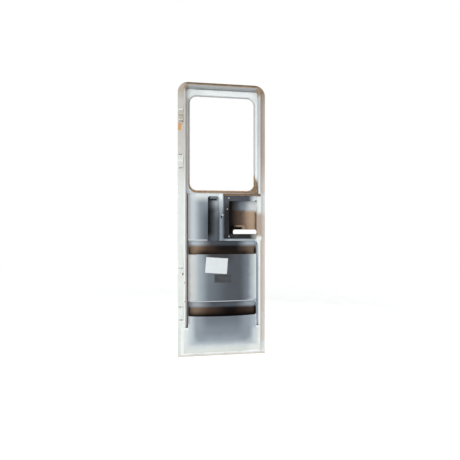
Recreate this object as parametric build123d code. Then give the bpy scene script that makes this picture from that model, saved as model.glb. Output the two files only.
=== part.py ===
"""Caravan entry door leaf, one solid per piece, in millimetres with +Z up.

Drawn with X from the middle of the width, Z from the middle of the height and Y from the
front of the rim, growing towards the outside. Every piece is then moved so that the origin
sits on the face of the lowest hinge plate.
"""
import os

from build123d import *

# Leaf
door_width = 580.0
door_height = 1800.0
skin_thickness = 5.0
skin_corner = 70.0
skin_edge = 1.5
flange_width = 41.5
fit_gap = 0.3

# Rim
rim_depth = 52.0
rim_land = 13.0
rim_corner = 28.0
rim_edge = 3.5

# Sunk panel, window and rebate
recess_depth = 38.0
recess_side = 15.0
recess_top = 33.0
recess_bottom = 9.5
rebate_side = 8.5
rebate_top = 4.5
rebate_bottom = 18.5
window_corner = 46.0
seal_thickness = 3.0

# Lower lining
lining_head = 13.0
lining_edge = 5.0
back_thickness = 6.0
groove_width = 16.0
groove_depth = 14.0
pad_width = 121.2
pad_rise = 2.6
pad_crown = 9.0
pad_edge = 5.0

# Umbrella channel
channel_width = 76.8
channel_head = 15.0
channel_slope = 18.0
channel_wall = 3.0
channel_floor = 4.0
channel_round = 24.0
channel_corner = 16.0

# Lock moulding, plate and cavity
rib_width = 26.4
rib_hole_radius = 4.0
rib_hole_rise = 139.0
rib_hole_depth = 20.0
border_lip = 14.2
border_proud = 6.0
border_edge = 4.5
border_overhang = 3.5
plate_height = 275.4
plate_bar = 35.9
plate_head = 32.2
plate_foot = 29.7
plate_thickness = 3.0
plate_corner = 8.0
plate_fold = 12.0
cavity_right = 14.8
cavity_margin = 8.0
screw_radius = 2.6
screw_inset = 14.0

# Ledge and gusset above the lock
ledge_rise = 2.5
ledge_proud = 9.0
ledge_chamfer = 7.0
ledge_short = 5.0
gusset_height = 114.0
gusset_front = 12.0

# Handle hole and grip dish
handle_inset = 32.2
handle_clear = 3.5
handle_drop = 5.3
handle_height = 34.0
handle_corner = 13.0
dish_overlap = 15.0
dish_width = 100.0
dish_rise = 29.0
dish_corner = 22.0
dish_wall = 3.0
dish_height = 14.0
dish_edge = 4.0

# Pockets
upper_mouth = 84.9
upper_front = 302.5
lower_mouth = 93.0
lower_front = 70.0
lower_depth = 180.0
front_thickness = 4.0
front_edge = 2.0
front_bevel = 2.5
lip_crown = 20.0
foot_crown = 9.0
gap_corner = 13.0
ear_width = 3.0
cheek_thickness = 3.0
floor_thickness = 4.0

# Apron
apron_lap = 1.8
apron_height = 157.3
apron_inset = 3.0
apron_thickness = 3.0
apron_foot = 39.3
apron_shoulder = 66.0

# Hinge plates
hinges_from_top = (221.0, 521.0)
hinges_from_bottom = (580.5, 285.0)
hinge_width = 29.0
hinge_height = 90.0
hinge_thickness = 4.0
hinge_corner = 4.0
hinge_hole_radius = 3.2
hinge_hole_spacing = 62.0
hinge_slot_length = 18.0
hinge_slot_height = 4.5
hinge_slot_drop = 15.0

# Widths from the middle of the leaf
half_width = door_width / 2
body_half = half_width - flange_width
inner_half = body_half - rim_land
inner_corner = rim_corner - rim_land
lining_half = inner_half - fit_gap
field_half = inner_half - groove_width
window_half = inner_half - recess_side - rebate_side
pad_right = pad_width - field_half
channel_right = pad_right + channel_width
plate_left = channel_right + rib_width
opening_left = plate_left + plate_bar
opening_right = inner_half - cavity_right
border_right = body_half + border_overhang
handle_left = opening_left + handle_inset
handle_right = inner_half - handle_clear
dish_left = handle_left - dish_overlap
dish_right = dish_left + dish_width
apron_half = body_half - apron_inset
hinge_x = -(body_half + flange_width / 2)

# Heights from the middle of the leaf: the lining is stacked up from the bottom rail
half_height = door_height / 2
body_top = half_height - flange_width
inner_top = body_top - rim_land
apron_bottom = -inner_top - apron_lap
apron_top = apron_bottom + apron_height
lower_lip = apron_top + lower_front
lower_floor = lower_lip - lower_depth
upper_bottom = lower_lip + lower_mouth
lower_top = upper_bottom - fit_gap
upper_lip = upper_bottom + upper_front
border_bottom = upper_lip + upper_mouth
upper_top = border_bottom - fit_gap
pad_bottom = border_bottom + pad_rise
plate_bottom = border_bottom + border_lip
plate_top = plate_bottom + plate_height
opening_bottom = plate_bottom + plate_foot
opening_top = plate_top - plate_head
lining_top = plate_top + lining_head
channel_top = lining_top - channel_head
handle_bottom = opening_bottom - handle_drop
handle_top = handle_bottom + handle_height
dish_top = handle_top + dish_rise
window_bottom = lining_top + recess_bottom + rebate_bottom
window_top = inner_top - recess_top - rebate_top
hinge_heights = [half_height - drop for drop in hinges_from_top]
hinge_heights += [rise - half_height for rise in hinges_from_bottom]

# Depths from the front of the rim
back_front = rim_depth - back_thickness
channel_back = back_front - channel_floor
tray_front = front_edge + front_thickness
skin_back = rim_depth + skin_thickness
dish_front = rim_depth - dish_height
hinge_face = rim_depth - hinge_thickness
origin = (hinge_x, hinge_face, hinge_heights[-1])


def area(left, right, bottom, top, top_round=0.0, bottom_round=0.0):
    """Upright rectangle between two widths and two heights, rounded above and below as asked."""
    outline = Pos((left + right) / 2, (bottom + top) / 2) * Rectangle(right - left, top - bottom)
    if top_round:
        outline = fillet(outline.vertices().group_by(Axis.Y)[-1], top_round)
    if bottom_round:
        outline = fillet(outline.vertices().group_by(Axis.Y)[0], bottom_round)
    return outline


def slab(outline, front, back):
    """An upright outline made solid from one depth to another."""
    plane = Plane((0, back, 0), x_dir=(1, 0, 0), z_dir=(0, -1, 0))
    return extrude(plane * outline, back - front)


def block(left, right, bottom, top, front, back):
    """Plain box between two widths, two heights and two depths."""
    return slab(area(left, right, bottom, top), front, back)


def across(left, right, *points):
    """A side view of depth and height points, made solid from one width to another."""
    plane = Plane((left, 0, 0), x_dir=(0, 1, 0), z_dir=(1, 0, 0))
    return extrude(plane * make_face(Polyline(*points, close=True)), right - left)


def front_edges(solid):
    """The edges round the face that is nearest the inside of the caravan."""
    return solid.faces().sort_by(Axis.Y)[0].edges()


def bowed(half, height, edge, crown, back_edge, back_crown):
    """Level section between two bows: each has its own depth at the ends and its own crown."""
    front = ThreePointArc((-half, edge), (0, edge - crown), (half, edge))
    sides = [Line((half, edge), (half, back_edge)), Line((-half, back_edge), (-half, edge))]
    if back_crown:
        back = ThreePointArc((half, back_edge), (0, back_edge - back_crown), (-half, back_edge))
    else:
        back = Line((half, back_edge), (-half, back_edge))
    return Pos(0, 0, height) * make_face(Curve() + [front, back] + sides)


def bow_depth(half, edge, crown, at):
    """Depth of a bow at one distance from its middle, from its own depth at the ends and its crown."""
    radius = (half**2 + crown**2) / (2 * crown)
    return edge - crown + radius - (radius**2 - at**2) ** 0.5


def pocket_front(lip, *sections):
    """Front panel lofted through heights, each with an edge, a crown and a back crown, less its mouth."""
    panel = loft([bowed(field_half, z, edge, c, tray_front, back) for z, edge, c, back in sections])
    mouth_half = field_half - ear_width
    mouth = area(-mouth_half, mouth_half, lip, sections[-1][0] + gap_corner, 0, gap_corner)
    return panel - slab(mouth, -rim_depth, rim_depth)


def pocket_tray(top, bottom):
    """Two cheeks and a floor behind a pocket front."""
    inside = field_half - cheek_thickness
    outer = block(-field_half, field_half, bottom, top, tray_front, back_front)
    return outer - block(-inside, inside, bottom + floor_thickness, top, tray_front, back_front)


def save(name, solid):
    """Write one piece, moved so that the lowest hinge plate carries the origin."""
    export_step(Pos(-origin[0], -origin[1], -origin[2]) * solid, f"parts/{name}.step")


# Outer skin with the window, the handle hole and the mouth of the grip dish
window_hole = area(-window_half, window_half, window_bottom, window_top, window_corner, window_corner)
handle_hole = area(handle_left, handle_right, handle_bottom, handle_top, handle_corner, handle_corner)
dish_inside = area(
    dish_left + dish_wall, dish_right - dish_wall, handle_top, dish_top - dish_wall, dish_corner - dish_wall
)
skin_outline = area(-half_width, half_width, -half_height, half_height, skin_corner)
outer_skin = slab(skin_outline, rim_depth, skin_back)
outer_skin = fillet(outer_skin.faces().sort_by(Axis.Y)[-1].edges(), skin_edge)
outer_skin = outer_skin - slab(window_hole + handle_hole + dish_inside, rim_depth, skin_back)

# Rim round the leaf, cut into two stiles and two rails
rim_outline = area(-body_half, body_half, -body_top, body_top, rim_corner)
rim_inside = area(-inner_half, inner_half, -inner_top, inner_top, inner_corner)
rim = slab(rim_outline - rim_inside, 0, rim_depth)
rim = fillet(front_edges(rim), rim_edge)
stile_top = body_top - rim_corner
hinge_stile = rim & block(-half_width, 0, -inner_top, stile_top, 0, rim_depth)
lock_stile = rim & block(0, half_width, -inner_top, stile_top, 0, rim_depth)
head_rail = rim & block(-half_width, half_width, stile_top, half_height, 0, rim_depth)
bottom_rail = rim & block(-half_width, half_width, -half_height, -inner_top, 0, rim_depth)

# Sunk panel round the window, and the seal in its rebate
rebate_half = window_half + rebate_side
rebate_corner = window_corner + rebate_side
rebate = area(
    -rebate_half,
    rebate_half,
    window_bottom - rebate_bottom,
    window_top + rebate_top,
    rebate_corner,
    rebate_corner,
)
panel = area(-lining_half, lining_half, lining_top, inner_top - fit_gap, inner_corner - fit_gap)
window_surround = slab(panel - rebate, recess_depth, rim_depth)
window_seal = slab(rebate - window_hole, rim_depth - seal_thickness, rim_depth)

# Back wall of the channel and the pockets, open behind the lock, with a raised floor for each groove
lock_area = area(channel_right, inner_half, border_bottom, lining_top)
wall = area(-lining_half, lining_half, fit_gap - inner_top, lining_top)
hinge_groove = area(-lining_half, -field_half - fit_gap, apron_top, lining_top)
lock_groove = area(field_half + fit_gap, lining_half, apron_top, upper_top)
back_panel = slab(wall - lock_area, back_front, rim_depth)
back_panel = back_panel + slab(hinge_groove + lock_groove, groove_depth, back_front)

# Pad on the hinge side, crowned and rounded at both ends
pad_section = bowed(pad_width / 2, pad_bottom, 0, pad_crown, back_front, 0)
left_pad = Pos(pad_right - pad_width / 2, 0, 0) * extrude(pad_section, lining_top - pad_bottom)
left_pad = fillet(left_pad.edges().filter_by(GeomType.CIRCLE), pad_edge)

# Umbrella channel: a trough with a round bed and a sloping top end
bed_left = pad_right + channel_wall
bed_right = channel_right - channel_wall
bed_section = mirror(area(bed_left, bed_right, -channel_back, rim_depth, 0, channel_round), Plane.XZ)
bed = extrude(Pos(0, 0, border_bottom) * bed_section, channel_top - border_bottom)
slope = across(
    pad_right,
    channel_right,
    (-rim_depth, border_bottom),
    (-rim_depth, channel_top),
    (0, channel_top),
    (channel_back, channel_top - channel_slope),
    (channel_back, border_bottom),
)
mouth = slab(area(bed_left, bed_right, border_bottom, channel_top, channel_corner), -rim_depth, rim_depth)
trough = block(pad_right, channel_right, border_bottom, lining_top, 0, back_front)
trough = fillet(front_edges(trough).sort_by(Axis.Z)[-1], lining_edge)
umbrella_channel = trough - (bed & slope & mouth)

# Moulding round the lock, with its raised border, cavity and rib hole
border = area(channel_right, border_right, border_bottom, plate_top, 0, plate_corner)
border = border + area(channel_right, plate_left, plate_bottom, lining_top)
seat = area(plate_left, opening_right, plate_bottom, plate_top, 0, plate_corner)
raised = slab(border - seat, -border_proud, 0)
raised = fillet(front_edges(raised), border_edge)
cavity = area(
    opening_left - cavity_margin, inner_half, opening_bottom - cavity_margin, opening_top + cavity_margin
)
body = block(channel_right, lining_half, border_bottom, lining_top, 0, rim_depth)
body = body - slab(cavity, 0, rim_depth)
rib_middle = Pos(channel_right + rib_width / 2, plate_bottom + rib_hole_rise)
rib_hole = slab(rib_middle * Circle(rib_hole_radius), -border_proud, rib_hole_depth)
lock_surround = raised + body - rib_hole

# Lock plate, folded inwards round three sides of its opening
plate_right = opening_right - fit_gap
plate_outline = area(
    plate_left + fit_gap, plate_right, plate_bottom + fit_gap, plate_top - fit_gap, 0, plate_corner
)
opening = area(opening_left, opening_right, opening_bottom, opening_top)
fold_outline = area(
    opening_left - plate_thickness,
    plate_right,
    opening_bottom - plate_thickness,
    opening_top + plate_thickness,
)
screws = [
    Pos(x, z) * Circle(screw_radius)
    for x in (opening_left, opening_right - screw_inset)
    for z in (plate_bottom + screw_inset, plate_top - screw_inset)
]
lock_plate = slab(plate_outline - opening - screws, -plate_thickness, 0)
lock_plate = lock_plate + slab(fold_outline - opening, 0, plate_fold)

# Ledge above the plate, and the gusset beside the window
ledge_top = lining_top + ledge_rise
lock_ledge = block(plate_left + fit_gap, border_right - ledge_short, plate_top, ledge_top, -ledge_proud, 0)
lock_ledge = chamfer(front_edges(lock_ledge).sort_by(Axis.Z)[-1], ledge_chamfer)
gusset_top = lining_top + gusset_height
gusset_view = Polyline(
    (rebate_half, lining_top), (lining_half, lining_top), (rebate_half, gusset_top), close=True
)
gusset_ramp = across(
    rebate_half,
    lining_half,
    (gusset_front, lining_top),
    (recess_depth, gusset_top),
    (recess_depth, lining_top),
)
corner_gusset = slab(make_face(gusset_view), gusset_front, recess_depth) & gusset_ramp

# Back of the outside grip: a dish with an open lower side
dish_outline = area(dish_left, dish_right, handle_top, dish_top, dish_corner)
handle_dish = slab(dish_outline, dish_front, rim_depth)
handle_dish = chamfer(front_edges(handle_dish).sort_by(Axis.Z)[1:], dish_edge)
handle_dish = handle_dish - slab(dish_inside, dish_front + dish_wall, rim_depth)

# Upper pocket, its front bevelled along the foot
upper_pocket_front = pocket_front(
    upper_lip,
    (upper_bottom, front_edge, foot_crown, foot_crown),
    (upper_lip, front_edge, lip_crown, lip_crown),
    (upper_top, front_edge, lip_crown, lip_crown),
)
upper_foot = upper_pocket_front.faces().sort_by(Axis.Z)[0].edges().sort_by(Axis.Y)[0]
upper_pocket_front = chamfer(upper_foot, front_bevel)
upper_pocket_tray = pocket_tray(upper_top, upper_bottom)

# Lower pocket, reaching down behind the apron, its front flush with the apron where they meet
apron_crown = lip_crown - front_edge - apron_thickness
meeting_edge = bow_depth(apron_half, -apron_thickness, apron_crown, field_half)
meeting_crown = meeting_edge - front_edge + lip_crown
lower_pocket_front = pocket_front(
    lower_lip,
    (apron_top, meeting_edge, meeting_crown, lip_crown),
    (lower_lip, front_edge, lip_crown, lip_crown),
    (lower_top, front_edge, lip_crown, lip_crown),
)
lower_pocket_tray = pocket_tray(lower_top, lower_floor)

# Apron over the lower part of the stiles: a bulge that runs out into a flat foot
apron_fade = apron_bottom + apron_foot
apron = loft(
    [
        bowed(apron_half, apron_fade, -apron_thickness, fit_gap, 0, 0),
        bowed(apron_half, apron_top - apron_shoulder, -apron_thickness, apron_crown * 2 / 3, 0, 0),
        bowed(apron_half, apron_top, -apron_thickness, apron_crown, 0, 0),
    ]
)
foot = bowed(apron_half, apron_bottom, -apron_thickness, fit_gap, 0, 0)
apron = apron + extrude(foot, apron_foot)

# Hinge plates on the flange
hinge_outline = area(
    -hinge_width / 2, hinge_width / 2, -hinge_height / 2, hinge_height / 2, hinge_corner, hinge_corner
)
hinge_holes = [Pos(0, side * hinge_hole_spacing / 2) * Circle(hinge_hole_radius) for side in (-1, 1)]
hinge_slot = Pos(0, -hinge_slot_drop) * SlotOverall(hinge_slot_length, hinge_slot_height)
hinge_plate = slab(hinge_outline - hinge_holes - hinge_slot, hinge_face, rim_depth)

os.makedirs("parts", exist_ok=True)
save("outer_skin", outer_skin)
save("hinge_stile", hinge_stile)
save("lock_stile", lock_stile)
save("head_rail", head_rail)
save("bottom_rail", bottom_rail)
save("window_surround", window_surround)
save("window_seal", window_seal)
save("back_panel", back_panel)
save("left_pad", left_pad)
save("umbrella_channel", umbrella_channel)
save("lock_surround", lock_surround)
save("lock_plate", lock_plate)
save("lock_ledge", lock_ledge)
save("corner_gusset", corner_gusset)
save("handle_dish", handle_dish)
save("upper_pocket_front", upper_pocket_front)
save("upper_pocket_tray", upper_pocket_tray)
save("lower_pocket_front", lower_pocket_front)
save("lower_pocket_tray", lower_pocket_tray)
save("apron", apron)
for number, height in enumerate(hinge_heights, 1):
    save(f"hinge_plate_{number}", Pos(hinge_x, 0, height) * hinge_plate)
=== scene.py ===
"""Caravan entry door leaf: a finish for every CAD piece, and the small fittings and marks on it."""
import math

import bmesh
import bpy
import numpy as np
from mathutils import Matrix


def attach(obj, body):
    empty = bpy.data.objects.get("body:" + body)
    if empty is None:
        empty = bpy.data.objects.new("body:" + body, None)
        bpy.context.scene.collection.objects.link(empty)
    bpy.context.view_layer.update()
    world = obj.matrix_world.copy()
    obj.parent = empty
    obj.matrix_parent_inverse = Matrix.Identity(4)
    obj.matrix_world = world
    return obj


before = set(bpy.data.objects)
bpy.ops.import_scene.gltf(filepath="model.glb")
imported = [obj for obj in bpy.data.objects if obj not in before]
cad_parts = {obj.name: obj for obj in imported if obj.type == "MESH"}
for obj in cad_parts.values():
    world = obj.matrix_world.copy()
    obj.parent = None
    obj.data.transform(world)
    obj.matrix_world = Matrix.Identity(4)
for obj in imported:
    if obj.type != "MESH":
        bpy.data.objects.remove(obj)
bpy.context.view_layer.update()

# Places below are door millimetres: X from mid width, Y from the rim's front, Z from mid height
ORIGIN = (-269.25, 48.0, -615.0)
MM = 1000  # millimetres in a metre
# Depths of the faces that carry small pieces
RIB_FACE = -6.0
PLATE_FACE = -3.0
RIM_FACE = 0.0
HINGE_FACE = 48.0
SEAL_FACE = 49.0
SKIN_FACE = 52.0
RIB_HOLE = (-8.3, 13.6)
WINDOW = {"half": 212.0, "bottom": 191.0, "corner": 46.0}
# The bowed upper front; its crown grows from the foot up, by less and less
FRONT = {"half": 219.5, "edge": 2.0, "foot": -527.0, "crown": 9, "growth": 0.06478, "slowing": 9.394e-5}


def row(x, y, z):
    """Door millimetres to the frame's metres, for numbers or whole arrays."""
    spread_out = np.broadcast_arrays(x, y, z)
    return np.stack([(a - o) / MM for a, o in zip(spread_out, ORIGIN)], axis=-1)


def linear(hex_colour):
    """An sRGB hex colour as linear RGBA."""
    c = np.array([int(hex_colour[i:i + 2], 16) for i in (1, 3, 5)]) / 255
    return (*np.where(c <= 0.04045, c / 12.92, ((c + 0.055) / 1.055) ** 2.4), 1.0)


def add(tree, kind, links=None, stops=(), **settings):
    """One node with its settings.

    Links fills inputs with values or outputs, and stops fills the two points of a colour ramp. The
    colours of a Mix node are its inputs 6 and 7 and its output 2.
    """
    made = tree.nodes.new(kind)
    for key, value in settings.items():
        setattr(made, key, value)
    if stops:
        for point, (place, colour) in zip(made.color_ramp.elements, stops):
            point.position, point.color = place, linear(colour)
    for key, value in (links or {}).items():
        if isinstance(value, bpy.types.NodeSocket):
            tree.links.new(value, made.inputs[key])
        else:
            made.inputs[key].default_value = value
    return made


def new_finish(name, **sockets):
    """A material with its node tree, its one Principled shader and its Object coordinates."""
    material = bpy.data.materials.new(name)
    material.use_nodes = True
    tree = material.node_tree
    shader = tree.nodes["Principled BSDF"]
    for key, value in sockets.items():
        shader.inputs[key.replace("_", " ")].default_value = value
    return material, tree, shader, add(tree, "ShaderNodeTexCoord").outputs["Object"]


# Tones of the leaf's plastics, dirt and stains, and of painted light and shade
LIT_WHITE = "#F2F5F3"  # near white: painted light on ABS and gelcoat
PALE = "#D8DEDE"  # light grey ABS, laid as painted light along tops, ends and sides
MIST = "#B6C0C5"  # light blue-grey ABS
GREY = "#858E96"  # the lining's own grey
SHADE_GREY = "#5B6169"  # dark grey: painted shade on the lining
NEAR_BLACK_SHADING = "#34363A"  # nearly black: painted shading in the middle of the upper front
DEEP_SHADE = "#15110F"  # near black: painted shade in pockets and corners that light hardly reaches
TAN = "#C0A68D"  # cut laminate and thin old glue
BROWN = "#917D69"  # mid brown, round the window seal's foot
BROWN_SHADE = "#54463C"  # dark brown: painted shade in the pockets, behind the lock and along a pocket's lip
# Millimetres of the noise that frays the edges of tones, and of a scratch's length
FRAY_SIZE = 35
SCRATCH_LENGTH = 26


def layered(tree, at, base, layers, fray_mm):
    """A base tone with others over it.

    A layer is a tone and the stretches in X, Y or Z over which it comes in. A stretch goes from where
    the tone is not seen to where it is full, and noise frays it across and up and down.
    """
    uneven = add(
        tree, "ShaderNodeTexNoise", {"Vector": at, "Scale": MM / FRAY_SIZE, "Detail": 3.0}
    ).outputs["Color"]
    shift = add(
        tree, "ShaderNodeVectorMath", {0: uneven, 1: (0.5, 0.5, 0.5)}, operation="SUBTRACT"
    ).outputs[0]
    reach = 2 * fray_mm / MM
    frayed = add(
        tree, "ShaderNodeVectorMath", {0: shift, 1: (reach, 0.0, reach), 2: at}, operation="MULTIPLY_ADD"
    ).outputs[0]
    axes = add(tree, "ShaderNodeSeparateXYZ", {0: frayed}).outputs
    colour = linear(base)
    for tone, *stretches in layers:
        mask = 1.0
        for axis, start, full in stretches:
            number = "XYZ".index(axis)
            ends = {1: (start - ORIGIN[number]) / MM, 2: (full - ORIGIN[number]) / MM}
            seen = add(
                tree, "ShaderNodeMapRange", {0: axes[number], **ends}, interpolation_type="SMOOTHSTEP"
            ).outputs[0]
            mask = add(tree, "ShaderNodeMath", {0: mask, 1: seen}, operation="MULTIPLY").outputs[0]
        colour = add(
            tree, "ShaderNodeMix", {0: mask, 6: colour, 7: linear(tone)}, data_type="RGBA"
        ).outputs[2]
    return colour


def both_ends(tone, start, full, *more):
    """The same layer towards the hinge end and towards the lock end."""
    return [(tone, ("X", -start, -full), *more), (tone, ("X", start, full), *more)]


def worn_surface(tree, shader, at, colour, cloud_mm, grain_mm, depth_mm, rough, wear):
    """Cloudy tone, patches of fine scratches and a grain over a colour.

    Wear is how far the tone swings, and rough holds the two ends of the roughness.
    """
    cloud = add(
        tree, "ShaderNodeTexNoise", {"Vector": at, "Scale": MM / cloud_mm, "Detail": 4.0}
    ).outputs[0]
    grain = add(
        tree, "ShaderNodeTexNoise", {"Vector": at, "Scale": MM / grain_mm, "Detail": 2.0}
    ).outputs[0]
    mottle = add(
        tree, "ShaderNodeMath", {0: grain, 1: 0.5, 2: cloud}, operation="MULTIPLY_ADD"
    ).outputs[0]
    tone = add(
        tree, "ShaderNodeMapRange", {0: mottle, 1: 0.5, 2: 1.0, 3: 1 - wear, 4: 1 + wear / 2}
    ).outputs[0]
    toned = add(
        tree, "ShaderNodeMix", {0: 1.0, 6: colour, 7: tone}, data_type="RGBA", blend_type="MULTIPLY"
    ).outputs[2]
    # Scratches are the crests of a noise nine times as fine one way, shown only where the cloud is high
    drawn = add(
        tree, "ShaderNodeMapping", {0: at, "Rotation": (0.3, 0.2, 0.5), "Scale": (1, 1, 9)}
    ).outputs[0]
    strokes = add(
        tree, "ShaderNodeTexNoise", {"Vector": drawn, "Scale": MM / SCRATCH_LENGTH, "Detail": 5.0}
    ).outputs[0]
    lines = add(tree, "ShaderNodeMapRange", {0: strokes, 1: 0.62, 2: 0.72}).outputs[0]
    patches = add(
        tree, "ShaderNodeMapRange", {0: cloud, 1: 0.46, 2: 0.6, 3: 0.0, 4: 3 * wear}
    ).outputs[0]
    scratch = add(
        tree, "ShaderNodeMath", {0: lines, 1: patches, 2: 1.0}, operation="MULTIPLY_ADD"
    ).outputs[0]
    scratched = add(
        tree, "ShaderNodeMix", {0: 1.0, 6: toned, 7: scratch}, data_type="RGBA", blend_type="MULTIPLY"
    ).outputs[2]
    tree.links.new(scratched, shader.inputs["Base Color"])
    gloss = add(tree, "ShaderNodeMapRange", {0: cloud, 1: 0.3, 2: 0.7, 3: rough[0], 4: rough[1]})
    tree.links.new(gloss.outputs[0], shader.inputs["Roughness"])
    bump = add(tree, "ShaderNodeBump", {"Height": grain, "Strength": 0.5, "Distance": depth_mm / MM})
    tree.links.new(bump.outputs[0], shader.inputs["Normal"])


def formed_abs(name, base, layers=(), rough=(0.38, 0.52), wear=0.08, gloss=0.2, fray=6):
    """Thermoformed ABS sheet, and seal or sealant that has set as smooth.

    Satin, with a fine grain (drawn at 3 mm to show) and a cloudy, rubbed tone.
    """
    material, tree, shader, at = new_finish(name, IOR=1.53, Specular_IOR_Level=gloss)
    colour = layered(tree, at, base, layers, fray)
    worn_surface(
        tree, shader, at, colour, cloud_mm=70, grain_mm=3, depth_mm=0.25, rough=rough, wear=wear
    )
    return material


def gelcoat_laminate():
    """Gelcoat on glass-fibre laminate: pale and even outside; inside, a flange going brown towards the
    head, and raw laminate, both with painted light and shade.
    """
    material, tree, shader, at = new_finish("gelcoat laminate", IOR=1.5, Specular_IOR_Level=0.06)
    lock_flange = ("X", 238, 250)
    behind_lock = [("X", 246, 238), ("Z", -300, -200), ("Z", 300, 200)]
    colour = layered(tree, at, "#E1E5E1", [
        # Flange: painted light, lighter towards the foot and in a band beside the lock; painted shade,
        # darker towards the head; a warm tint down the lock side, brown towards the head
        (LIT_WHITE, ("Z", -500, -842)),
        ("#DDE2DD", ("X", -264, -280), ("Z", -600, -740)),
        ("#EAE5DD", lock_flange, ("Z", -828, -802)),
        ("#E6DCD2", lock_flange, ("Z", -650, -600)),
        (LIT_WHITE, lock_flange, ("Z", 18, 66), ("Z", 200, 150)),
        ("#D0CEC8", ("Z", 130, 600)),
        ("#CABDB0", lock_flange, ("Z", 200, 450)),
        ("#B5A897", ("Z", 740, 840), ("X", 100, 240)),
        ("#A28F79", ("Z", 832, 860)),
        ("#BFB5A8", ("X", -226, -250), ("Z", 770, 856)),
        ("#7A6854", ("Z", 884, 895)),
        ("#D8D2C9", ("Z", -882, -894)),
        # Laminate behind the lock: painted shade, near black by the plate and low on the hinge side, going
        # to tan towards the lock side, with a painted shade line along the lock-side wall; painted light
        # above it, grey to near white
        (DEEP_SHADE, ("X", -150, 20), *behind_lock),
        (BROWN_SHADE, ("X", 50, 125), *behind_lock),
        (TAN, ("X", 118, 206), *behind_lock),
        ("#6E6053", ("X", 214, 227), ("Z", 62, 46), *behind_lock),
        ("#474A4F", ("X", 58, 108), ("Z", 54, 70), *behind_lock),
        (GREY, ("X", 90, 150), ("Z", 50, 70), *behind_lock),
        ("#E6E9E9", ("X", 140, 208), ("Z", 44, 72), *behind_lock),
        ("#0A0807", ("X", 175, 110), ("Z", -50, -95), ("X", -150, 20), *behind_lock),
        # Outer face
        ("#E9E8E2", ("Y", 53.8, 54.2)),
    ], fray_mm=9)
    worn_surface(
        tree, shader, at, colour, cloud_mm=55, grain_mm=4, depth_mm=0.2, rough=(0.3, 0.48), wear=0.05
    )
    return material


def aged_foam(name, colour, dark):
    """Aged sealant and PU foam: matt, crumbly and blotched brown, in lumps of about 9 mm."""
    material, tree, shader, at = new_finish(name, IOR=1.45)
    lumps = add(tree, "ShaderNodeTexNoise", {"Vector": at, "Scale": MM / 9, "Detail": 6.0}).outputs[0]
    blotch = add(tree, "ShaderNodeValToRGB", {0: lumps}, [(0.34, dark), (0.62, colour)]).outputs[0]
    worn_surface(
        tree, shader, at, blotch, cloud_mm=30, grain_mm=2.5, depth_mm=0.8, rough=(0.72, 0.92), wear=0.12
    )
    return material


def black_abs():
    """Pressed black ABS: nearly black, satin, dusty in wipes of about 60 mm, pale with painted reflection
    towards the lock edge.
    """
    material, tree, shader, at = new_finish("black ABS", IOR=1.53, Specular_IOR_Level=0.08)
    tone = layered(tree, at, "#232426", [
        ("#484B50", ("X", 15, 6)),
        ("#4E5258", ("Z", 40, 134)),
        ("#D4DCE0", ("Z", 60, 128), ("X", 165, 216)),
        ("#A4A8A6", ("Z", -70, -116), ("X", 172, 216)),
    ], fray_mm=6)
    dust = add(tree, "ShaderNodeTexNoise", {"Vector": at, "Scale": MM / 60, "Detail": 5.0}).outputs[0]
    film = add(tree, "ShaderNodeMapRange", {0: dust, 1: 0.45, 2: 0.75, 3: 0.0, 4: 0.08}).outputs[0]
    colour = add(
        tree, "ShaderNodeMix", {0: film, 6: tone, 7: linear("#8A8C8C")}, data_type="RGBA"
    ).outputs[2]
    worn_surface(
        tree, shader, at, colour, cloud_mm=12, grain_mm=2, depth_mm=0.2, rough=(0.4, 0.6), wear=0.1
    )
    return material


def dish_laminate():
    """Raw laminate round the grip: near black with painted shade in the hollow, a tan edge, fibres about 5
    mm.
    """
    material, tree, shader, at = new_finish("raw laminate", IOR=1.5, Specular_IOR_Level=0.04)
    tone = layered(tree, at, "#070504", [
        ("#A28C76", ("X", 122, 146)),
        ("#A28C76", ("X", 70, 112), ("Z", -54, -43)),
    ], fray_mm=3)
    fibre = add(tree, "ShaderNodeTexNoise", {"Vector": at, "Scale": MM / 5, "Detail": 5.0}).outputs[0]
    film = add(tree, "ShaderNodeMapRange", {0: fibre, 1: 0.4, 2: 0.8, 3: 0.0, 4: 0.1}).outputs[0]
    colour = add(
        tree, "ShaderNodeMix", {0: film, 6: tone, 7: linear("#55463A")}, data_type="RGBA"
    ).outputs[2]
    worn_surface(
        tree, shader, at, colour, cloud_mm=30, grain_mm=3, depth_mm=0.4, rough=(0.6, 0.85), wear=0.05
    )
    return material


def painted_steel(name, enamel, *bars):
    """Painted steel plate: pale enamel, with rust in broken bars about 7 mm tall at given heights."""
    half_bar = 3.5
    material, tree, shader, at = new_finish(name, IOR=1.5)
    height = add(tree, "ShaderNodeSeparateXYZ", {0: at}).outputs["Z"]
    rust = add(tree, "ShaderNodeTexNoise", {"Vector": at, "Scale": MM / 9, "Detail": 6.0}).outputs[0]
    broken = add(tree, "ShaderNodeMapRange", {0: rust, 1: 0.36, 2: 0.52}).outputs[0]
    colour = linear(enamel)
    for bar in bars:
        middle = (bar - ORIGIN[2]) / MM
        near = add(
            tree, "ShaderNodeMath", {0: height, 1: middle, 2: half_bar / MM}, operation="COMPARE"
        ).outputs[0]
        stain = add(tree, "ShaderNodeMath", {0: near, 1: broken}, operation="MULTIPLY").outputs[0]
        colour = add(
            tree, "ShaderNodeMix", {0: stain, 6: colour, 7: linear("#8F7B67")}, data_type="RGBA"
        ).outputs[2]
    worn_surface(
        tree, shader, at, colour, cloud_mm=25, grain_mm=2, depth_mm=0.2, rough=(0.35, 0.6), wear=0.05
    )
    return material


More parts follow.
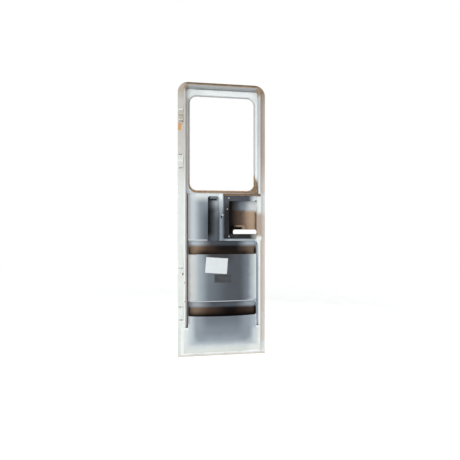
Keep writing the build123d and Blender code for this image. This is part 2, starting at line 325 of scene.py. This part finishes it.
def zinc_steel():
    """Zinc-plated steel screws: bright, slightly brushed metal with dull spots of about 2 mm."""
    material, tree, shader, at = new_finish("zinc-plated steel", Metallic=1.0)
    spots = add(tree, "ShaderNodeTexNoise", {"Vector": at, "Scale": MM / 2, "Detail": 3.0}).outputs[0]
    colour = add(
        tree, "ShaderNodeValToRGB", {0: spots}, [(0.3, "#A9ABAA"), (0.7, "#E4E6E5")]
    ).outputs[0]
    worn_surface(
        tree, shader, at, colour, cloud_mm=3, grain_mm=0.8, depth_mm=0.05, rough=(0.25, 0.45), wear=0.05
    )
    return material


def rusted_steel(name, deep, worn):
    """Rusted or blackened steel: matt scale in crusts of about 3 mm, from a deep to a worn tone."""
    material, tree, shader, at = new_finish(name, IOR=1.5, Specular_IOR_Level=0.2)
    crust = add(tree, "ShaderNodeTexNoise", {"Vector": at, "Scale": MM / 3, "Detail": 5.0}).outputs[0]
    colour = add(tree, "ShaderNodeValToRGB", {0: crust}, [(0.3, deep), (0.7, worn)]).outputs[0]
    worn_surface(
        tree, shader, at, colour, cloud_mm=8, grain_mm=1.5, depth_mm=0.3, rough=(0.7, 0.9), wear=0.06
    )
    return material


def label_paper():
    """Coated label paper: white, matt, a little cockled, with fibres drawn at 2 mm."""
    material, tree, shader, at = new_finish("label paper", IOR=1.45)
    fibre = add(tree, "ShaderNodeTexNoise", {"Vector": at, "Scale": MM / 2, "Detail": 5.0}).outputs[0]
    colour = add(
        tree, "ShaderNodeValToRGB", {0: fibre}, [(0.3, "#CFD5D6"), (0.7, "#E0E6E7")]
    ).outputs[0]
    worn_surface(
        tree, shader, at, colour, cloud_mm=35, grain_mm=6, depth_mm=0.3, rough=(0.6, 0.75), wear=0.05
    )
    return material


def glue_film():
    """Film of old glue: thin, dark and dull, with dust caught in streaks about 12 mm tall."""
    material, tree, shader, at = new_finish("glue film", IOR=1.45)
    streaks = add(tree, "ShaderNodeMapping", {0: at, "Scale": (0.25, 1, 1)}).outputs[0]
    dust = add(
        tree, "ShaderNodeTexNoise", {"Vector": streaks, "Scale": MM / 12, "Detail": 5.0}
    ).outputs[0]
    colour = add(
        tree, "ShaderNodeValToRGB", {0: dust}, [(0.35, "#2A2C2F"), (0.7, "#3E4246")]
    ).outputs[0]
    worn_surface(
        tree, shader, at, colour, cloud_mm=20, grain_mm=3, depth_mm=0.2, rough=(0.5, 0.7), wear=0.05
    )
    return material


def masking_tape():
    """Creped paper tape: orange-buff, matt, with crepe ridges drawn about 6 mm apart to show."""
    ridge_mm = 6
    bands_per_unit = 3.15  # of a Wave node, near 20 / (2 pi)
    material, tree, shader, at = new_finish("creped paper tape", IOR=1.45)
    ridges = {"Vector": at, "Scale": MM / ridge_mm / bands_per_unit, "Distortion": 4.0}
    crepe = add(tree, "ShaderNodeTexWave", ridges, bands_direction="Z").outputs["Fac"]
    colour = add(
        tree, "ShaderNodeValToRGB", {0: crepe}, [(0.0, "#CB904A"), (1.0, "#E8B677")]
    ).outputs[0]
    worn_surface(
        tree, shader, at, colour, cloud_mm=12, grain_mm=2, depth_mm=0.3, rough=(0.6, 0.8), wear=0.08
    )
    return material


# The lower front and the apron are one moulded face, with painted light and shade: dark in its middle, pale
# towards its sides and foot, and painted highlights at the ends of the grooves
LOWER_LINING = [
    ("#7E8790", ("Z", -640, -715)),
    ("#949DA5", ("Z", -715, -775)),
    *both_ends("#8C959D", 85, 160),
    ("#B2BBC0", ("X", -162, -200)),
    ("#A9B4BB", ("X", 162, 208)),
    ("#B2BCC2", ("Z", -766, -803)),
    *both_ends("#B2BCC2", 140, 198, ("Z", -730, -792)),
    ("#C3CBCE", ("X", -181, -212)),
    ("#CDD5D8", ("X", 180, 212), ("Z", -680, -715)),
    ("#CFD6D7", ("Z", -790, -818)),
    (PALE, ("X", -204, -235)),
    (LIT_WHITE, ("X", -213, -224), ("Z", -706, -695)),
    ("#FFFFFF", ("X", 213, 224), ("Z", -708, -696)),
    ("#EAEEEB", ("X", 212, 238)),
    ("#D9DED9", ("Z", -812, -838)),
    ("#E6EBE6", ("X", 130, 215), ("Z", -796, -828)),
]
# Stretches that several layers share
CHANNEL_FACE = ("Y", 1.2, 0.2)
HEAD_WALL = ("Z", 834, 844)
UPPER_POCKET = ("Z", -420, -360)
LOCK_GROOVE = ("X", 217, 219.4)
finishes = {
    "outer_skin": gelcoat_laminate(),
    # Painted shade: darker towards the head, most on the hinge side, and on the head's inner wall, deepest
    # at its back on the hinge side; brown along the head's top edge and corners; painted light on a strip
    # along the foot, and on the lock stile's inner edge, white beside the pockets
    "rim": formed_abs("rim ABS", "#E6E9E7", [
        ("#D8DADA", ("Z", 120, 420)),
        ("#C3C1BC", ("Z", 60, 560), ("X", 60, -160)),
        ("#CACBCC", ("X", 200, 228), ("Z", 330, 560)),
        ("#A9ABAC", HEAD_WALL),
        ("#7F8386", HEAD_WALL, ("Y", 8, 36), ("X", -205, -140)),
        ("#AFA394", ("Z", 851, 857)),
        ("#9C8B79", ("X", -206, -230), ("Z", 806, 838)),
        ("#A08B74", ("X", 214, 232), ("Z", 792, 820)),
        ("#D8DBD6", ("Z", -842, -849)),
        (LIT_WHITE, ("Z", -851, -856)),
        ("#FFFFFF", ("X", 239, 236.5), ("X", 100, 200), ("Z", -120, -150)),
    ], wear=0.05),
    # Painted light under the head and towards the lock side, painted shade down the hinge side; darker
    # towards the foot, brown at the lock-side foot
    "window_surround": formed_abs("sunk panel ABS", "#E8EEEE", [
        ("#CBC9C4", ("X", -180, -214), ("Z", 815, 760)),
        ("#F2F9F9", ("X", 130, 205)),
        ("#F8FDFD", ("Z", 796, 816), ("X", -190, -60)),
        ("#D2D8DA", ("Z", 255, 195)),
        ("#A08D77", ("X", 140, 205), ("Z", 285, 240)),
        ("#A08D77", ("X", 170, 215), ("Z", 255, 190)),
    ], wear=0.04),
    # Painted shade on the hinge side and along the head, brown round the foot
    "window_seal": formed_abs("aged seal", "#C5C4C2", [
        ("#A9A8A6", ("X", -210.5, -212)),
        ("#A6A7A8", ("Z", 803, 808)),
        (BROWN, ("X", 150, 205), ("Z", 305, 275)),
        ("#C8B09A", ("Z", 285, 235)),
    ], rough=(0.5, 0.7), fray=1),
    "back_panel": formed_abs("pocket back ABS", DEEP_SHADE, [
        # Lower pocket: painted shade, brown and blackest in the middle, and painted light on the grey sheet
        # above the shade line
        ("#4A3B31", ("X", 50, -90)),
        ("#927D69", ("X", -70, -200)),
        ("#3A2C25", ("X", 70, 145)),
        (BROWN_SHADE, ("X", 135, 210)),
        ("#585E66", ("Z", -586, -566)),
        ("#BABFC3", ("X", -50, -200), ("Z", -586, -562)),
        ("#B0BAC2", ("X", 80, 212), ("Z", -586, -562)),
        *both_ends(DEEP_SHADE, 210, 216, ("Z", -562, -576)),
        (DEEP_SHADE, ("Z", -598, -640)),
        # Upper pocket: the same
        (DEEP_SHADE, UPPER_POCKET),
        ("#4A3B31", ("X", 5, -115), UPPER_POCKET),
        ("#9C856E", ("X", -90, -195), UPPER_POCKET),
        (BROWN_SHADE, ("X", 85, 150), UPPER_POCKET),
        ("#857463", ("X", 135, 205), UPPER_POCKET),
        ("#4D5259", ("Z", -182, -158)),
        ("#CFD9E1", ("X", -65, -195), ("Z", -184, -156)),
        ("#C6D1D9", ("X", 90, 200), ("Z", -184, -156)),
        ("#2A211C", ("Z", -190, -228), ("X", -205, -110), ("X", 205, 130), ("Z", -360, -300)),
        *both_ends(DEEP_SHADE, 210, 216, UPPER_POCKET, ("Z", -172, -198)),
        # Grooves beside the fronts: on the hinge side painted shade with a painted-light outer half, else
        # blue-grey, with painted light towards its foot and top
        ("#565757", ("X", -217, -219.4)),
        ("#D2D4D3", ("X", -226, -232)),
        ("#9FACB4", LOCK_GROOVE),
        ("#B4C0C8", LOCK_GROOVE, ("Z", -620, -672)),
        ("#C8D1D7", ("X", 225.5, 230), ("Z", -262, -215)),
    ], wear=0.05, gloss=0.06, fray=2),
    # Painted shade towards the trough and on the hinge-side edge, painted light along its top, and a
    # painted highlight along its foot
    "left_pad": formed_abs("pad ABS", "#B5BEC2", [
        (GREY, ("X", -188, -138)),
        (SHADE_GREY, ("X", -155, -100), ("Z", 125, -10)),
        ("#9A9896", ("X", -194, -217)),
        (PALE, ("Z", 95, 158), ("X", -218, -150)),
        ("#D9E0E2", ("Z", -129, -134)),
    ], wear=0.05, fray=2),
    "umbrella_channel": formed_abs("channel ABS", "#232424", [
        # Trough: painted shade, black on the hinge side and under its lip, lighter towards the rib and the
        # top
        (SHADE_GREY, ("X", -84, -36)),
        (GREY, ("X", -60, -24), ("Z", -20, 60)),
        ("#4A4D52", ("Z", 50, 104)),
        (MIST, ("X", -85, -24), ("Z", 55, 108)),
        ("#2F3133", ("Z", 120, 127), ("X", -22, -44)),
        ("#959EA5", ("Z", 132, 137), ("X", -90, -72)),
        (SHADE_GREY, ("Z", -84, -128)),
        # Face round the trough, with the same painted light and shade as the pad and the rib beside it
        (GREY, CHANNEL_FACE),
        (SHADE_GREY, CHANNEL_FACE, ("Z", 125, -10)),
        (MIST, CHANNEL_FACE, ("Z", 30, 115), ("X", -60, -40)),
        (PALE, CHANNEL_FACE, ("Z", 95, 158)),
        (PALE, ("Z", 150, 156)),
    ], wear=0.05, gloss=0.08, fray=4),
    # Painted light: lighter towards the top, along the rib and along the bottom lip; its lock-side border
    # is tan in the middle, with painted light near white above and below
    "lock_surround": formed_abs("lock moulding ABS", "#727B83", [
        ("#8B949D", ("X", -20, -13), ("X", -3, -9)),
        (MIST, ("Z", 25, 116)),
        ("#E6ECEC", ("Z", 104, 146), ("X", 5, -5)),
        ("#7A6E62", ("X", 100, 200), ("Z", 70, 40)),
        ("#B2A192", ("X", 203, 232), ("Z", 80, 45)),
        ("#E6EAE8", ("X", 205, 238), ("Z", 20, 60)),
        ("#ABB6BC", ("X", 0, 40), ("Z", -122, -136)),
        ("#E8ECEA", ("X", 200, 232), ("Z", -98, -122)),
    ], wear=0.05, fray=3),
    "lock_plate": black_abs(),
    "lock_ledge": aged_foam("aged sealant", "#897662", "#5B4B3C"),
    "corner_gusset": aged_foam("aged foam", "#A49078", "#705D4A"),
    "handle_dish": dish_laminate(),
    # Painted light and shade: dark in the middle, pale towards both ends, with a painted highlight along
    # the foot on the lock side; the ears above are dark brown with painted shade, and grey at the top on
    # the lock side
    "upper_pocket_front": formed_abs("upper front ABS", "#4A4F56", [
        ("#6A727A", ("X", 50, -110)),
        ("#98A3AA", ("X", -80, -152)),
        ("#C1C5C5", ("X", -138, -184)),
        ("#9F9E9C", ("X", -198, -217)),
        ("#767E86", ("X", 105, 180)),
        ("#B8C2C7", ("X", 158, 203)),
        (PALE, ("X", 199, 217)),
        (MIST, ("X", 140, 195), ("Z", -508, -524)),
        (NEAR_BLACK_SHADING, ("X", -140, -60), ("X", 90, 20), ("Z", -300, -232)),
        (BROWN_SHADE, ("Z", -228, -222)),
        ("#7F8993", ("Z", -200, -176), ("X", 100, 200)),
    ], wear=0.06),
    # The shared face, with painted shade: greyer at its hinge-side edge and dark along its lip
    "lower_pocket_front": formed_abs("lower front ABS", "#697179", [
        *LOWER_LINING,
        ("#9A9C9E", ("X", -203, -217), ("Z", -678, -656)),
        ("#3C332D", ("Z", -621, -614)),
    ], wear=0.05),
    "apron": formed_abs("apron ABS", "#697179", LOWER_LINING, wear=0.05),
}
HINGE_PLATES = [  # from the top down: enamel, lighter down the door as painted light, and the heights of the bars of rust
    ("first", "#C6C0B5", 679, 641),
    ("second", "#DDE0DB", 421, 337),
    ("third", "#E4E9E5", -319),
    ("fourth", "#E4E9E5", -571, -656),
]
for number, (place, enamel, *bars) in enumerate(HINGE_PLATES, 1):
    finishes[f"hinge_plate_{number}"] = painted_steel(f"painted steel, {place} hinge", enamel, *bars)
NODE_FINISH = {  # nodes that share a finish
    "hinge_stile": "rim", "lock_stile": "rim", "head_rail": "rim", "bottom_rail": "rim",
    "upper_pocket_tray": "back_panel", "lower_pocket_tray": "back_panel",
}
for name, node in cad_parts.items():
    node.data.materials.clear()
    node.data.materials.append(finishes[NODE_FINISH.get(name, name)])


def grid_mesh(name, grid, closed=False):
    """A mesh of four-cornered faces through a grid of points; closed joins its last column to its first."""
    rows, columns = grid.shape[:2]
    index = np.arange(rows * columns).reshape(rows, columns)
    if closed:
        index = np.hstack([index, index[:, :1]])
    quads = np.stack([index[:-1, :-1], index[:-1, 1:], index[1:, 1:], index[1:, :-1]], axis=-1)
    mesh = bpy.data.meshes.new(name)
    mesh.from_pydata(grid.reshape(-1, 3).tolist(), [], quads.reshape(-1, 4).tolist())
    return mesh


def placed(name, data):
    """A new object in the scene that shows a mesh, a lamp or a camera."""
    made = bpy.data.objects.new(name, data)
    bpy.context.scene.collection.objects.link(made)
    return made


def surface(name, grid, material, closed=False, wall_mm=0.0):
    """A grid of points as a smooth piece on the door; wall_mm thickens an open sheet."""
    mesh = grid_mesh(name, grid, closed)
    shape = bmesh.new()
    shape.from_mesh(mesh)
    bmesh.ops.remove_doubles(shape, verts=shape.verts, dist=1e-6)
    bmesh.ops.recalc_face_normals(shape, faces=shape.faces)
    shape.to_mesh(mesh)
    shape.free()
    mesh.polygons.foreach_set("use_smooth", np.ones(len(mesh.polygons), bool))
    mesh.materials.append(material)
    made = placed(name, mesh)
    if wall_mm:
        wall = made.modifiers.new("wall", "SOLIDIFY")
        wall.thickness, wall.offset = wall_mm / MM, 0.0
    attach(made, "root")


def full_turn(steps):
    """Even steps once round a circle, the last one short of the first."""
    return np.linspace(0, 2 * np.pi, steps, endpoint=False)


def wobble(t, seed, waves=7):
    """A repeatable uneven line, mostly between -1 and 1.

    It adds sines of rising pitch and falling height, with phases from a seed.
    """
    phases = np.random.default_rng(seed).uniform(0, 2 * np.pi, waves)
    pitch = 1.7 ** np.arange(waves)
    return sum(np.sin(p * t + q) / p ** 0.6 for p, q in zip(pitch, phases)) / 2.4


def screw_head(name, x, face, z, radius, height, material):
    """Pan head: a flattened dome, its rise the root of 1 - r^4, less a cross recess.

    The cross falls off past the half width of its arms, and fades out before the rim.
    """
    arm_half, arm_reach, recess = 0.16, 0.62, 0.55
    r = np.linspace(0, 1, 16)[:, None]
    turn = full_turn(48)[None, :]
    u, v = r * np.cos(turn), r * np.sin(turn)
    cross = np.exp(-(np.minimum(abs(u), abs(v)) / arm_half) ** 4) * np.exp(-(r / arm_reach) ** 8)
    rise = height * (np.sqrt(1 - r ** 4) - recess * cross)
    top = row(x + radius * u, face - rise, z + radius * v)
    base = row(np.full_like(turn, x), face, z)
    surface(name, np.concatenate([top, base]), material, closed=True)


def front_depth(x, z):
    """Depth of the upper pocket front: a circular bow whose crown grows with height as a parabola."""
    up = z - FRONT["foot"]
    crown = FRONT["crown"] + FRONT["growth"] * up - FRONT["slowing"] * up ** 2
    bow = (FRONT["half"] ** 2 + crown ** 2) / (2 * crown)
    return FRONT["edge"] - (np.sqrt(bow ** 2 - x ** 2) - bow + crown)


def laid_sheet(name, corner, along, down, lift, material, slot):
    """A thin sheet from one corner along two edges, laid on the bowed front."""
    s, t = np.meshgrid(np.linspace(0, 1, 40), np.linspace(0, 1, 30))
    x, z = (corner[i] + along[i] * s + down[i] * t for i in (0, 1))
    surface(name, row(x, front_depth(x, z) - lift, z), material, wall_mm=0.1)


def corner_web(name, x, z, radius, material):
    """Web in the upper corner of a pocket mouth.

    It reaches from a quarter circle out to the square corner, and its inner edge rolls back as a parabola.
    """
    front, roll_depth, roll_width = -1.6, 2.0, 3
    turn = np.linspace(0, np.pi / 2, 29)[:, None]
    out = np.linspace(0, 1, 14)[None, :]
    square = 1 / np.maximum(np.cos(turn), np.sin(turn))
    reach = radius * (1 + (square - 1) * out)
    roll = roll_depth * (1 - np.minimum(1, out * (square - 1) * radius / roll_width)) ** 2
    grid = row(x - radius + reach * np.cos(turn), front + roll, z - radius + reach * np.sin(turn))
    surface(name, grid, material, wall_mm=1.6)


def rolled_lip(name, half, z, radius, material):
    """Rolled foot of the upper front: a round bead carried along the bow, thinning out at both ends."""
    taper, proud = 14, 0.3
    x = np.linspace(-half, half, 90)[:, None]
    ends = np.clip((half - abs(x)) / taper, 0, 1) ** 0.5
    turn = full_turn(16)[None, :]
    y = front_depth(x, z) - proud + radius * ends * np.cos(turn)
    grid = row(x, y, z + radius * ends * np.sin(turn))
    surface(name, grid, material, closed=True)


def tape_strip(name, x, z, half_width, half_height, material):
    """A torn, leaning strip on the flange: a flat sheet with ragged ends, whose sides lift a little."""
    raggedness, lean, clear, curl, flat = 0.06, 2.0, 0.4, 1.2, 0.8
    s, t = np.meshgrid(np.linspace(-1, 1, 24), np.linspace(-1, 1, 40))
    ragged = 1 + raggedness * wobble(9 * s, 11)
    lift = clear + curl * np.maximum(0, abs(s) - flat)
    points = row(x + half_width * s + lean * t, SKIN_FACE - lift, z + half_height * t * ragged)
    surface(name, points, material, wall_mm=0.3)


def bead(name, path, face, width, height, uneven, material, seed=0):
    """Half-round bead carried along a path on a face, running out at both ends.

    Uneven makes its width and height wander. Its flat side lies a little below the face.
    """
    taper, sunk = 0.08, 0.4
    step = np.gradient(path, axis=0)
    side = np.stack([-step[:, 1], step[:, 0]], axis=-1) / np.linalg.norm(step, axis=1)[:, None]
    t = np.linspace(0, 1, len(path))
    ends = np.clip(np.minimum(t, 1 - t) / taper, 0, 1) ** 0.5
    wide = ends * width * (1 + 0.22 * uneven * wobble(60 * t, seed))
    tall = ends * height * (1 + 0.3 * uneven * wobble(85 * t, seed + 1))
    turn = full_turn(20)
    off = wide[:, None] / 2 * np.cos(turn)
    above, below = (size[:, None] * np.sin(turn) for size in (tall, sunk * ends))
    rise = np.where(np.sin(turn) > 0, above, below)
    x, z = (path[:, i, None] + side[:, i, None] * off for i in (0, 1))
    surface(name, row(x, face - rise, z), material, closed=True)


def turned(name, x, z, profile, material, slot, tall=1.0):
    """A profile of radius and depth pairs carried once round a middle; tall stretches its rings upright."""
    turn = full_turn(48)[None, :]
    radius, depth = np.array(profile).T[:, :, None]
    ring = row(x + radius * np.cos(turn), depth, z + tall * radius * np.sin(turn))
    surface(name, ring, material, closed=True)


def border_ear(name, corners, front, drop, material):
    """Pointed ear of the lock border: a patch between four corners.

    It falls back towards its tip, by the cube of the way there.
    """
    s, t = np.meshgrid(np.linspace(0, 1, 24), np.linspace(0, 1, 24))
    weights = np.stack([(1 - s) * (1 - t), s * (1 - t), s * t, (1 - s) * t], axis=-1)
    x, z = np.moveaxis(weights @ np.array(corners), -1, 0)
    surface(name, row(x, front + drop * s ** 3, z), material, wall_mm=2.4)


def window_foot(inset, rise_left, rise_right):
    """Path round the foot of the window: left leg down, corner arc, bottom, corner arc, right leg up."""
    half, low, corner = WINDOW["half"] + inset, WINDOW["bottom"] - inset, WINDOW["corner"] + inset
    level = low + corner
    leg_end = level + 4
    quarter = np.linspace(0, np.pi / 2, 40)
    cosine, sine = corner * np.cos(quarter), corner * np.sin(quarter)
    leg_left = np.stack([np.full(30, -half), np.linspace(level + rise_left, leg_end, 30)], -1)
    bend_left = np.stack([corner - half - cosine, level - sine], -1)
    bend_right = np.stack([half - corner + sine, level - cosine], -1)
    leg_right = np.stack([np.full(60, half), np.linspace(leg_end, level + rise_right, 60)], -1)
    return np.concatenate([leg_left, bend_left, bend_right, leg_right])


def resampled(path, count):
    """A path of points with even steps along its length."""
    length = np.concatenate([[0], np.cumsum(np.linalg.norm(np.diff(path, axis=0), axis=1))])
    even_steps = np.linspace(0, length[-1], count)
    return np.stack([np.interp(even_steps, length, path[:, axis]) for axis in (0, 1)], -1)


zinc = zinc_steel()
rust = rusted_steel("rusted steel", "#6B5644", "#A38F7C")
blackened = rusted_steel("blackened steel", "#3C444C", "#66727E")
HEADS = {  # X, face, Z, radius, height and finish
    "plate_screw_top": (40.8, PLATE_FACE, 136.0, 4.2, 2.2, zinc),
    "plate_screw_low": (40.8, PLATE_FACE, -111.4, 4.2, 2.2, zinc),
    "plate_screw_side": (30.0, PLATE_FACE, 65.0, 3.6, 1.8, zinc),
    "plate_plug_top": (216.5, PLATE_FACE, 119.0, 5.4, 1.6, blackened),
    "plate_plug_low": (206.7, PLATE_FACE, -111.4, 4.6, 1.6, rust),
    "rim_plug_upper": (-241.0, RIM_FACE, -404.0, 3.4, 1.2, rust),
    "rim_plug_lower": (-241.0, RIM_FACE, -525.0, 3.4, 1.2, rust),
    "hinge_stub_upper": (-262.0, HINGE_FACE, 641.0, 5.0, 2.2, rust),
}
for name, place_and_size in HEADS.items():
    screw_head(name, *place_and_size)
stub = [(0, 44.6), (3.2, 44.8), (4.6, 46.0), (4.8, 48.3), (0, 48.3)]
turned("hinge_stub_lower", -257.0, -356.5, stub, rust, "hinge_metal", tall=1.7)
# Sheets on the upper front: a corner, two edges and the gap under the sheet
label_place = [(-104.8, -241.6), (138.5, -9.6), (-8.0, -99.8), 0.15]
film_place = [(-53.0, -353.0), (106.0, -2.0), (0.0, -51.0), 0.12]
laid_sheet("stock_label", *label_place, label_paper(), "rim_plastic")
laid_sheet("bare_film", *film_place, glue_film(), "dark_plastic")
# Pale ABS for the mouth webs and the rolled foot: a painted highlight on these edges
pale_abs = formed_abs("pale lip ABS", "#C3CCD0", [("#ECF1F0", ("Z", -500, -200))])
corner_web("upper_mouth_web", 235.0, -140.2, 32.0, pale_abs)
corner_web("lower_mouth_web", 219.4, -527.6, 22.0, pale_abs)
rolled_lip("upper_front_foot", 208.0, -525.5, 2.4, pale_abs)
tape_strip("tape_strip", -278.0, 606.0, 9.0, 23.0, masking_tape())
sealant = aged_foam("old sealant bead", "#B7987C", "#7F654B")
foot_line = resampled(window_foot(8.0, 40, 70), 260)
bead("window_bead", foot_line, SEAL_FACE, 13.0, 3.2, 1.0, sealant, 21)
white_sealant = formed_abs("white sealant", "#F4F6F4", rough=(0.5, 0.7))
SMEARS = {  # width, height, and the two ends, on the hinge plates
    "first_high": (9, 1.4, (-283, 717), (-256, 717)),
    "first_low": (4, 1.0, (-283, 648), (-256, 647)),
    "second_high": (8, 1.4, (-258.5, 422), (-258.5, 404)),
    "second_mid": (8, 1.4, (-283, 385), (-256, 384)),
    "third": (8, 1.2, (-264, -352), (-264, -363.5)),
}
for seed, (place, (width, height, start, end)) in enumerate(SMEARS.items(), 30):
    line = np.linspace(start, end, 40)
    bead(f"sealant_{place}", line, HINGE_FACE, width, height, 1.0, white_sealant, seed)
lock_abs = finishes["lock_surround"]
for side, x in (("left", -14.5), ("right", -2.2)):
    upright = np.stack([np.full(60, x), np.linspace(148, -122, 60)], -1)
    bead(f"rib_ridge_{side}", upright, RIB_FACE, 4.6, 1.3, 0.0, lock_abs)
quarter = np.linspace(0, math.pi / 2, 14)
boss = [(6.0 * math.sin(u), RIB_FACE - 1.7 * math.cos(u)) for u in quarter] + [(0, RIB_FACE + 0.4)]
turned("rib_boss", -0.6, 26.5, boss, formed_abs("boss ABS", MIST), "lining_plastic")
# A near-black bush in the rib's hole: a dark piece that stands for the hole's shade
bush = [
    (0, 2), (1.3, 2), (1.7, -5.2), (2.4, -6.8), (3.4, -6.9),
    (4.2, -6.2), (4.2, -5.6), (1.9, -5.2), (1.9, 6), (0, 6),
]
hole_shade_black = rusted_steel("near-black bush, painted hole shade", "#0C0C0D", "#1C1D1F")
turned("rib_hole_shade", *RIB_HOLE, bush, hole_shade_black, "dark_plastic", tall=2.1)
# The ear is near white: a painted highlight
ear_corners = [(238, -139), (248, -137.5), (257.5, -121.5), (238, -104)]
border_ear("border_ear", ear_corners, -4.6, 1.6, formed_abs("pale ear ABS", LIT_WHITE))


def background_ray(tree):
    """1 for rays from the camera, from a reflection or through glass, else 0."""
    path = add(tree, "ShaderNodeLightPath").outputs
    ray = path["Is Camera Ray"]
    for kind in ("Is Glossy Ray", "Is Transmission Ray"):
        ray = add(tree, "ShaderNodeMath", {0: ray, 1: path[kind]}, operation="MAXIMUM").outputs[0]
    return ray


# Floor about as far below the leaf as the ground lies below a caravan's door; it glows more with distance
FLOOR_HEIGHT = -1262.0
FLOOR_STEPS = 25
GLOW = {1: 1.5, 2: 6.0, 3: 0.41, 4: 0.58}  # from and to metres away, and the strengths there
floor_finish, tree, shader, at = new_finish("painted floor", Roughness=0.9, Emission_Color=(1, 1, 1, 1))
speck = add(tree, "ShaderNodeTexNoise", {"Vector": at, "Scale": MM / 300, "Detail": 3.0}).outputs[0]
paint = add(tree, "ShaderNodeValToRGB", {0: speck}, [(0.3, "#ECECEB"), (0.7, "#F4F4F3")]).outputs[0]
tree.links.new(paint, shader.inputs["Base Color"])
away = add(tree, "ShaderNodeVectorMath", {0: at}, operation="LENGTH").outputs["Value"]
lift = add(tree, "ShaderNodeMapRange", {0: away, **GLOW}).outputs[0]
glow = add(tree, "ShaderNodeMath", {0: background_ray(tree), 1: lift}, operation="MULTIPLY").outputs[0]
tree.links.new(glow, shader.inputs["Emission Strength"])
across, back = np.linspace(-6000, 6000, FLOOR_STEPS), np.linspace(-3000, 9000, FLOOR_STEPS)
floor_mesh = grid_mesh("floor", row(*np.meshgrid(across, back), FLOOR_HEIGHT))
floor_mesh.materials.append(floor_finish)
floor = placed("floor", floor_mesh)

# World: white to the camera and to reflections, and an even soft light on the door
world = bpy.data.worlds.new("studio")
bpy.context.scene.world = world
world.use_nodes = True
tree = world.node_tree
tree.nodes.clear()
soft = add(tree, "ShaderNodeBackground", {0: (0.97, 0.98, 1.0, 1), 1: 0.52})
white = add(tree, "ShaderNodeBackground", {0: (1, 1, 1, 1), 1: 1.0})
both = add(
    tree, "ShaderNodeMixShader", {0: background_ray(tree), 1: soft.outputs[0], 2: white.outputs[0]}
)
add(tree, "ShaderNodeOutputWorld", {0: both.outputs[0]})


def soft_lamp(name, place, target, size_mm, watts):
    """A square area lamp at one door place, turned towards another."""
    light = bpy.data.lights.new(name, "AREA")
    light.size, light.energy = size_mm / MM, watts
    lamp = placed(name, light)
    lamp.location = row(*place)
    direction = np.subtract(target, place)
    level = math.hypot(direction[0], direction[1])
    lamp.rotation_euler = (math.atan2(level, -direction[2]), 0, math.atan2(-direction[0], direction[1]))


soft_lamp("key", (-1300, -2200, 100), (0, 0, 0), size_mm=1600, watts=34)
soft_lamp("fill", (1700, -1900, 200), (0, 0, 0), size_mm=1600, watts=7)
soft_lamp("overhead", (0, -300, 2600), (0, 0, -900), size_mm=1200, watts=8)
soft_lamp("back", (700, 2300, 600), (0, 50, 0), size_mm=1600, watts=26)

# Camera at the photograph's angle: level, and turned a little to the lock side
CAMERA_PLACE = (-122.6, -1668.0, -69.8)
CAMERA_TURN = -0.1017
camera = bpy.data.cameras.new("camera")
camera.sensor_width, camera.lens = 36.0, 20.33
viewer = placed("camera", camera)
viewer.location = row(*CAMERA_PLACE)
viewer.rotation_euler = (math.pi / 2, 0, CAMERA_TURN)
bpy.context.scene.camera = viewer
bpy.context.scene.view_settings.view_transform = "Standard"
